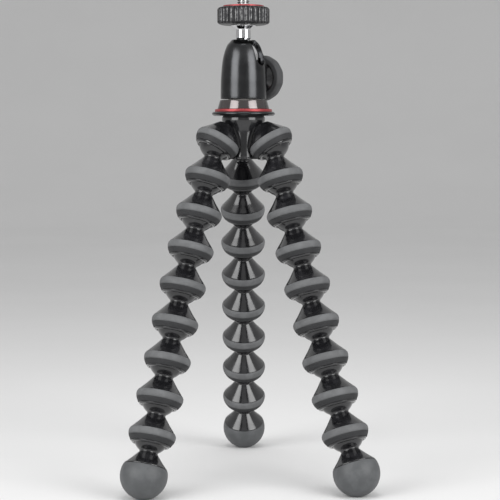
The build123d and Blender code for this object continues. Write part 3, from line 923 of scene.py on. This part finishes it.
@dataclass
class HeadBody(Maker):
    """Bullet-shaped housing with its drop notch, its mouth and the boss of the lock screw.

    Of the shares, each pair is a part of the radius and of the height, from the foot up.
    """

    foot: float = 22.2
    radius: float = 11.5
    height: float = 30.0
    shares: tuple[tuple[float, float], ...] = (
        (1.0, 0.02), (0.997, 0.2), (0.985, 0.36), (0.93, 0.60), (0.845, 0.76), (0.715, 0.895), (0.53, 0.983),
    )
    rim_r: float = 5.75
    bore_r: float = 8.75
    ball_r: float = 8.0
    ball_play: float = 0.06
    seat_end: float = 38.6
    mouth_r: float = 5.0
    notch_bearing: float = 60.0
    notch_half: float = 4.05
    boss_half: float = 6.3
    boss_reach: float = 12.6
    boss_top: float = 45.3
    boss_slope: float = 5.0
    drill_r: float = 2.6
    drill_long: float = 20.0
    edge: float = 0.4
    sides: int = 144

    def shape(self) -> Surface:
        """The bullet's outside."""
        side = through([(self.radius * wide, self.foot + self.height * high) for wide, high in self.shares])
        foot = rounded([(PIN, self.foot, 0.0), (self.radius, self.foot, 0.35), (*side[1], 0.0)], 1.0)
        top = self.foot + 0.99 * self.height
        rim = rounded([(*side[-1], 0.0), (self.rim_r, top, 0.3), (PIN, top, 0.0)], 1.0)
        return turned(dense(np.concatenate([foot, side[2:], rim[1:]]), 1.0), self.sides)

    def boss(self) -> Surface:
        """Flat-faced boss, as a slab across the lock screw."""
        low, high = self.foot + 0.02, self.boss_top
        face = [(0.0, low), (self.boss_reach, low), (self.boss_reach, high - self.boss_slope)]
        return slab(np.array([*face, (self.bore_r, high), (0.0, high)]), -self.boss_half, self.boss_half)

    def hollow(self) -> Surface:
        """Bore, ball seat and mouth."""
        seat = arc(self.ball_r + self.ball_play, 90, self.seat_end, BALL_AT, 16)
        low, high = self.foot - 1.0, self.foot + self.height + 2.0
        foot = np.array([(PIN, low), (self.bore_r, low), (self.bore_r, BALL_AT)])
        return turned(np.concatenate([foot, seat, [(self.mouth_r, high), (PIN, high)]]), 96)

    def notch(self) -> Surface:
        """Slot with a round foot, as wide as the stem with its play, from the axis outwards."""
        turn = np.linspace(-math.pi, 0.0, 33)
        foot = np.stack([self.notch_half * np.cos(turn), self.notch_half * np.sin(turn)], axis=1)
        outline = np.concatenate([foot, [(self.notch_half, self.height), (-self.notch_half, self.height)]])
        return slab(outline, 0.0, self.radius * 2)

    def side_on(self, degrees: float, height: float) -> Place:
        """Place whose Z is level at a bearing and whose Y is up."""
        z = bearing(degrees)
        return Place(self.frame.on_axis(height), np.stack([np.cross(UP, z), UP, z]))

    def build(self) -> None:
        """Housing and ball."""
        upright = self.frame.upright
        out = bearing(KNOB_BEARING)
        side = Place(self.frame.hub, np.stack([out, UP, np.cross(out, UP)]))
        drill = turned(np.array([(self.drill_r, 0.0), (self.drill_r, self.drill_long)]), 48)
        steps = [
            (Cut.ADD, side.carry(self.boss())),
            (Cut.TAKE, upright.carry(self.hollow())),
            (Cut.TAKE, self.side_on(self.notch_bearing, BALL_AT).carry(self.notch())),
            (Cut.TAKE, self.side_on(KNOB_BEARING, LOCK_AT).carry(drill)),
        ]
        mesh = carved("head_housing", upright.carry(self.shape()), steps, self.edge)
        self.piece("head_housing", mesh, "head", "satin_metal", "head_body")
        ball = turned(arc(self.ball_r, 178, 22, BALL_AT, 48), 96)
        self.piece("tilt_ball", upright.carry(ball), "ball", "polished_metal", "head_ball")


@dataclass
class Platform(Maker):
    """Stem with its flared collar, knurled wheel, red ring, pad and camera screw."""

    stem: Profile = (
        (PIN, 49.8, 0.0), (3.0, 49.8, 0.0), (3.0, 51.9, 0.3), (3.75, 52.7, 0.3),
        (3.75, 57.2, 0.9), (6.3, 58.9, 0.25), (6.3, 59.3, 0.0), (PIN, 59.3, 0.0),
    )
    disc: Profile = (
        (PIN, 59.3, 0.0), (10.75, 59.3, 0.5), (12.4, 59.8, 0.5), (13.15, 60.6, 0.5),
        (13.15, 67.0, 0.5), (12.4, 67.95, 0.5), (11.15, 68.3, 0.4), (PIN, 68.3, 0.0),
    )
    ring: Profile = ((9.3, 68.1, 0.0), (10.3, 68.1, 0.0), (10.3, 69.0, 0.25), (9.3, 69.0, 0.1))
    wheel_r: float = 13.15
    wheel_top: float = 68.3
    ribs: int = 32
    rib_points: int = 12
    rib_depth: float = 0.6
    rib_fade: float = 1.9
    pad_r: float = 9.25
    pad_hole: float = 3.6
    pad_high: float = 0.8
    pad_dip: float = 0.16
    pad_wave: float = 0.95
    screw_r: float = 3.175
    screw_pitch: float = 1.27
    screw_top: float = 73.6
    thread_depth: float = 0.62
    tip_r: float = 2.35
    tip_long: float = 1.1

    def wheel(self) -> Surface:
        """Knurled wheel: the radius dips between ribs by a raised cosine of the rib count times the angle.

        The dips fade to nothing towards the wheel's flat faces.
        """
        profile, angle = rounded(self.disc, 0.9), around(self.ribs * self.rib_points)
        radius, height = profile[:, :1], profile[:, 1:]
        share = np.clip((radius - (self.wheel_r - self.rib_fade)) / self.rib_fade, 0.0, 1.0) ** 1.5
        dip = (0.5 + 0.5 * np.cos(self.ribs * angle)) ** 1.6
        return shaped(radius - self.rib_depth * dip * share, height, angle)

    def pad(self) -> Surface:
        """Rubber pad whose top has shallow rings: its height dips by a raised cosine of the radius."""
        low, high = self.wheel_top, self.wheel_top + self.pad_high
        radius = np.linspace(self.pad_r, self.pad_hole, 90)
        wave = 2 * np.pi * (radius - self.pad_hole) / self.pad_wave
        top = np.stack([radius, high - self.pad_dip * (0.5 + 0.5 * np.cos(wave)) ** 2], axis=1)
        top[[0, -1], 1] = high - 0.2
        profile = np.concatenate([[(self.pad_hole, low), (self.pad_r, low)], top])
        return turned(profile, 128, looped=True)

    def screw(self) -> Surface:
        """Threaded screw: the radius dips by a rounded triangle of the height in pitches less the turn.

        The thread fades out below its tapered tip and above the pad.
        """
        foot = self.wheel_top - 0.5
        height, angle = np.linspace(foot, self.screw_top, 100)[:, None], around(72)
        phase = (height / self.screw_pitch - angle / (2 * np.pi)) % 1.0
        groove = (1 - np.abs(2 * phase - 1)) ** 0.85
        start = np.clip((height - foot - 1.5) / 0.5, 0.0, 1.0)
        tip = np.clip((self.screw_top - height) / self.tip_long, 0.0, 1.0)
        radius = self.screw_r - self.thread_depth * groove * start * np.sqrt(tip)
        taper = self.tip_r + (self.screw_r - self.tip_r) * tip
        return shaped(np.minimum(radius, taper), height, angle)

    def build(self) -> None:
        """The five pieces."""
        stem = turned(rounded(self.stem, 0.7), 96)
        ring = turned(rounded(self.ring, 0.6, looped=True), 128, looped=True)
        made = [
            ("platform_stem", stem, "polished_metal", "stem"),
            ("platform_knurl", self.wheel(), "knurled_metal", "platform_wheel"),
            ("platform_accent", ring, "accent_red", "top_ring"),
            ("platform_pad", self.pad(), "pad_rubber", "top_pad"),
            ("platform_screw", self.screw(), "steel", "camera_screw"),
        ]
        for name, surface, slot, node in made:
            self.piece(name, self.frame.upright.carry(surface), "platform", slot, node)


@dataclass
class Knob(Maker):
    """Lock knob: a hard core with a cone towards the body and a domed cap, and a wide rubber rim."""

    core: Profile = (
        (PIN, 21.0, 0.0), (2.65, 21.0, 0.0), (2.65, 13.3, 0.0), (4.4, 13.3, 0.25), (4.4, 14.5, 0.5),
        (7.9, 16.7, 0.5), (8.0, 21.6, 0.3), (5.0, 21.9, 2.0), (PIN, 21.9, 0.0),
    )
    tyre: Profile = (
        (7.95, 16.35, 0.0), (8.6, 15.8, 0.4), (10.6, 15.95, 1.0), (11.7, 17.1, 1.0),
        (11.7, 20.6, 1.0), (10.6, 21.8, 1.0), (8.4, 21.9, 0.3), (7.95, 21.5, 0.0),
    )
    rim_r: float = 11.7
    flutes: int = 12
    flute_in: float = 9.6
    flute_depth: float = 0.16
    sides: int = 144

    def rim(self) -> Surface:
        """Rubber rim with finger flutes: its radius dips by a raised cosine of flutes times the angle."""
        profile, angle = rounded(self.tyre, 0.6, looped=True), around(self.sides)
        radius, height = profile[:, :1], profile[:, 1:]
        share = np.clip((radius - self.flute_in) / (self.rim_r - self.flute_in), 0.0, 1.0)
        radius = radius - self.flute_depth * share * (0.5 + 0.5 * np.cos(self.flutes * angle))
        return shaped(radius, height, angle, looped=True)

    def build(self) -> None:
        """Core and rim."""
        place = Place.along(self.frame.on_axis(LOCK_AT), bearing(KNOB_BEARING))
        core = place.carry(turned(rounded(self.core, 0.8), 96))
        self.piece("lock_knob_core", core, "knob", "moulding", "knob_core")
        rim = place.carry(self.rim())
        self.piece("lock_knob_rim", rim, "knob", "grip_rubber", "knob_grip", finish="rim_rubber")


@dataclass
class KeptNodes(Maker):
    """CAD nodes that stay in view as they are, each with its finish."""

    kept: tuple[tuple[str, str], ...] = (
        ("stand_screw", "steel"), ("pan_bolt", "steel"), ("lock_screw", "steel"), ("pan_washer", "nylon"),
        ("brake_cup", "nylon"), ("hub_cover", "moulding"), ("stand_pad", "pad_rubber"),
        ("body_floor", "satin_metal"),
    )

    def build(self) -> None:
        """Gives each node its material."""
        for node, finish in self.kept:
            materials = self.frame.packed["nodes"][node].data.materials
            materials.clear()
            materials.append(self.looks[finish])
            LOG.info("%s: CAD node kept, %s", node, finish)


# ---------- studio


@dataclass(frozen=True)
class Softbox:
    """Soft lamp aimed at a point in metres. Its radiance is 1 where it would photograph as white.

    A grid in front of it keeps its light within the spread, so that the floor under it isn't burnt out.
    """

    name: str
    azimuth: float
    elevation: float
    distance: float
    wide: float
    high: float
    radiance: float
    spread: float = 100.0
    target: Triple = (0.0, 0.0, 0.13)

    def build(self) -> None:
        """Adds the lamp."""
        lamp = bpy.data.lights.new(self.name, "AREA")
        lamp.shape, lamp.size, lamp.size_y = "RECTANGLE", self.wide, self.high
        half = math.radians(self.spread / 2)
        lamp.spread = 2 * half
        lamp.energy = self.radiance * math.pi * self.wide * self.high * (1 - half / math.tan(half))
        turn, up = math.radians(self.azimuth), math.radians(self.elevation)
        back = Vector((math.sin(turn) * math.cos(up), -math.cos(turn) * math.cos(up), math.sin(up)))
        thing = added(self.name, lamp)
        thing.location = Vector(self.target) + back * self.distance
        thing.rotation_euler = back.to_track_quat("Z", "Y").to_euler()
        thing.visible_camera = False


@dataclass
class Studio:
    """Pale floor that sweeps up all round far from the object, soft lamps and the camera."""

    frame: Frame
    pale: Colour = (0.78, 0.78, 0.78)
    mottle: float = 0.98
    sky: float = 0.6
    flat_r: float = 2300.0
    sweep_r: float = 1300.0
    thick: float = 20.0
    lamps: tuple[Softbox, ...] = (
        Softbox("softbox_left", -47.0, 18.5, 0.95, wide=0.62, high=0.7, radiance=5.8),
        Softbox("softbox_right", 47.0, 18.5, 0.95, wide=0.62, high=0.7, radiance=5.8),
        Softbox("softbox_top", 0.0, 76.0, 1.0, wide=0.4, high=0.4, radiance=5.0),
    )
    focal_px: float = 1697.2
    picture_px: int = 500
    sensor: float = 36.0
    near: float = 0.05
    far: float = 30.0
    eye: Triple = (0.0, -858.1, 2.6)
    pitch: float = 3.77
    pan: float = 0.22

    def floor(self) -> None:
        """Wide pale floor, faintly mottled, whose rim sweeps up as a quarter circle."""
        rim = self.flat_r + self.sweep_r
        sweep = arc(self.sweep_r, 90, 180, 0.0, 24) + np.array([self.flat_r, self.sweep_r])
        under = [(PIN, -self.thick), (rim + self.thick, -self.thick), (rim + self.thick, self.sweep_r)]
        profile = np.concatenate([under, sweep, [(PIN, 0.0)]])
        thing = added("floor", mesh_of("floor", turned(profile, 128)))
        dresser = Dresser("floor")
        share = dresser.noise(dresser.place(), 0.004, 3.0).rising(0.3, 0.7)
        low = tuple(channel * self.mottle for channel in self.pale)
        linked = {"Base Color": dresser.blend(share, low, self.pale)}
        look = dresser.finish(linked, {"Roughness": 0.9, "Specular IOR Level": 0.1})
        thing.data.materials.append(look)

    def surround(self) -> None:
        """Even light from above the floor's rim."""
        world = bpy.data.worlds.new("surround")
        bpy.context.scene.world = world
        world.use_nodes = True
        tree = world.node_tree
        tree.nodes.clear()
        light = tree.nodes.new("ShaderNodeBackground")
        light.inputs["Color"].default_value = (self.sky, self.sky, self.sky, 1.0)
        output = tree.nodes.new("ShaderNodeOutputWorld")
        tree.links.new(light.outputs[0], output.inputs["Surface"])

    def camera(self) -> None:
        """Camera at the photograph's place and angle."""
        data = bpy.data.cameras.new("camera")
        data.sensor_width = self.sensor
        data.lens = self.focal_px / self.picture_px * self.sensor
        data.clip_start, data.clip_end = self.near, self.far
        thing = added("camera", data)
        thing.location = Vector((self.frame.hub + np.array(self.eye)) / METRE)
        tilt, pan = math.radians(self.pitch), math.radians(self.pan)
        ahead = Vector((math.sin(pan) * math.cos(tilt), math.cos(pan) * math.cos(tilt), -math.sin(tilt)))
        thing.rotation_euler = ahead.to_track_quat("-Z", "Y").to_euler()
        bpy.context.scene.camera = thing

    def build(self) -> None:
        """Everything round the object."""
        bpy.context.scene.view_settings.view_transform = "Standard"
        self.camera()
        self.floor()
        self.surround()
        for lamp in self.lamps:
            lamp.build()


def finishes(frame: Frame) -> dict[str, Material]:
    """Every finish of the object as a material, by its name."""
    axis = (float(frame.hub[0]), float(frame.hub[1]))
    made = [
        Moulding(),
        # grip rubber: the main colour is the rubber's own grey, set light for the upper band as it catches
        # light from above; the shaded colour is painted shade on the lower band
        Rubber("grip_rubber", (0.098, 0.1, 0.103), (0.138, 0.141, 0.145), shaded=(0.020, 0.0205, 0.022)),
        Rubber("rim_rubber", (0.046, 0.047, 0.049), (0.064, 0.066, 0.068)),
        Rubber("foot_rubber", (0.07, 0.073, 0.076), (0.098, 0.102, 0.106), roughness=0.42, scuffed=True),
        Rubber("pad_rubber", (0.018, 0.018, 0.019), (0.03, 0.03, 0.032), roughness=0.6),
        Metal("satin_metal", (0.042, 0.043, 0.045), (0.058, 0.059, 0.061), 0.17, 0.95, lines=0.1, grain=0.6),
        Metal("polished_metal", (0.62, 0.62, 0.63), (0.7, 0.7, 0.71), 0.06, lines=1.0),
        # dark chrome: the grey is the band's own colour, and the faint red cast in both colours is painted
        # reflection of the red ring just below the band
        Metal("dark_chrome", (0.105, 0.095, 0.095), (0.145, 0.13, 0.13), 0.08, lines=0.6),
        Metal("accent_red", (0.3, 0.04, 0.045), (0.38, 0.055, 0.06), 0.34, 0.55, lines=0.6, grain=0.2),
        WornMetal("knurled_metal", (0.034, 0.034, 0.036), (0.17, 0.17, 0.17), axis, Platform.wheel_r),
        Metal("steel", (0.5, 0.5, 0.5), (0.6, 0.6, 0.6), 0.22, lines=0.8),
        Rubber("nylon", (0.66, 0.65, 0.61), (0.72, 0.71, 0.67), roughness=0.42, grain=0.02),
    ]
    return {finish.name: finish.material() for finish in made}


def main() -> None:
    """Builds every piece round the frame, and the studio."""
    logging.basicConfig(level=logging.INFO, format="%(name)s %(message)s")
    frame = Frame()
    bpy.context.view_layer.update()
    looks = finishes(frame)
    for maker in (LegMaker, Hub, HeadBase, HeadBody, Platform, Knob, KeptNodes):
        maker(frame, looks).build()
    Studio(frame).build()


if __name__ == "__main__":
    main()
